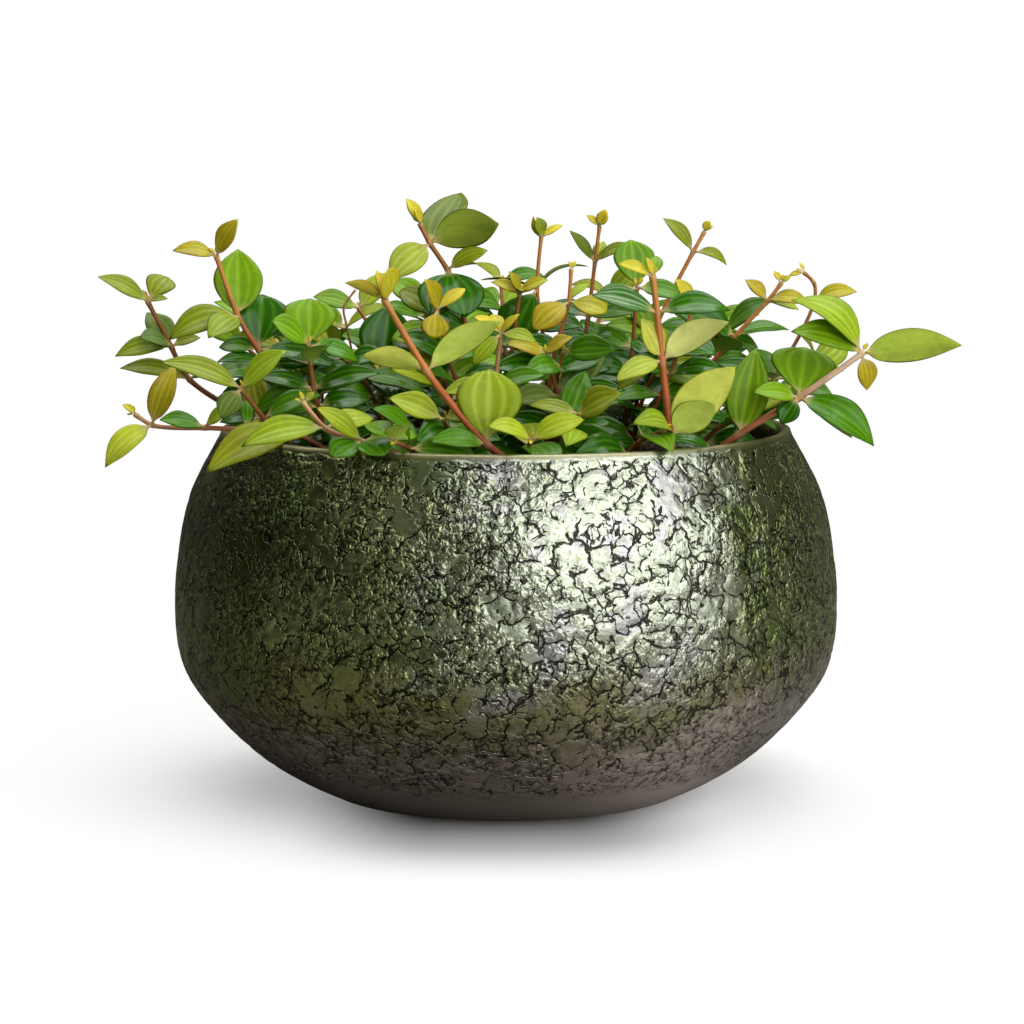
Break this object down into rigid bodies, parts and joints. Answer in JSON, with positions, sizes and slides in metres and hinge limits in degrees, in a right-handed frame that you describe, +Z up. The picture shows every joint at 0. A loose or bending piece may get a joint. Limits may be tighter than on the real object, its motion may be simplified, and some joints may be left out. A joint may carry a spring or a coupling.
{
  "type": "potted beetle peperomia",
  "caption": "Round glazed planter bowl filled with potting mix and planted with a dense, trailing mat of small striped leaves on red stems.",
  "frame": {"origin": "middle of the bowl's foot, on the surface that it stands on", "axes": "+Z up along the bowl's axis; the side that faces -Y is the front"},
  "size_m": [0.379, 0.3, 0.268],
  "materials": {
    "glaze": "glossy dark green and pewter metallic glaze over an embossed crackle",
    "mix": "dark crumbly potting mix, matte",
    "foliage": "smooth fleshy green leaves with pale lengthwise stripes, satin to glossy, on red-brown stems"
  },
  "bodies": {
    "root": {"planter_bowl": "glaze", "potting_mix": "mix", "long_front_stem": "foliage", "right_front_stem": "foliage", "reaching_right_stem": "foliage", "far_left_low_stem": "foliage", "far_left_stem": "foliage", "tall_left_stem": "foliage", "left_front_stem": "foliage", "left_inner_stem": "foliage", "rim_stem": "foliage", "tall_middle_stem": "foliage", "bronze_tipped_stem": "foliage", "yellow_star_stem": "foliage", "middle_stem": "foliage", "upright_stem": "foliage", "amber_stem": "foliage", "upright_back_stem": "foliage", "right_back_stem": "foliage", "right_bronze_stem": "foliage", "curled_right_stem": "foliage", "small_yellow_stem": "foliage", "shaded_left_stem": "foliage", "broad_back_stem": "foliage", "bronze_cluster_stem": "foliage", "front_mat_1": "foliage", "front_mat_2": "foliage", "front_mat_3": "foliage", "front_mat_4": "foliage", "front_mat_5": "foliage", "front_mat_6": "foliage", "front_mat_7": "foliage", "inner_mat_1": "foliage", "inner_mat_2": "foliage", "inner_mat_3": "foliage", "inner_mat_4": "foliage", "inner_mat_5": "foliage", "side_mat_1": "foliage", "side_mat_2": "foliage", "side_mat_3": "foliage", "back_mat_1": "foliage", "back_mat_2": "foliage", "back_mat_3": "foliage", "back_mat_4": "foliage", "back_mat_5": "foliage", "back_mat_6": "foliage", "back_mat_7": "foliage", "back_mat_8": "foliage", "back_mat_9": "foliage", "back_mat_10": "foliage"}
  },
  "joints": []
}
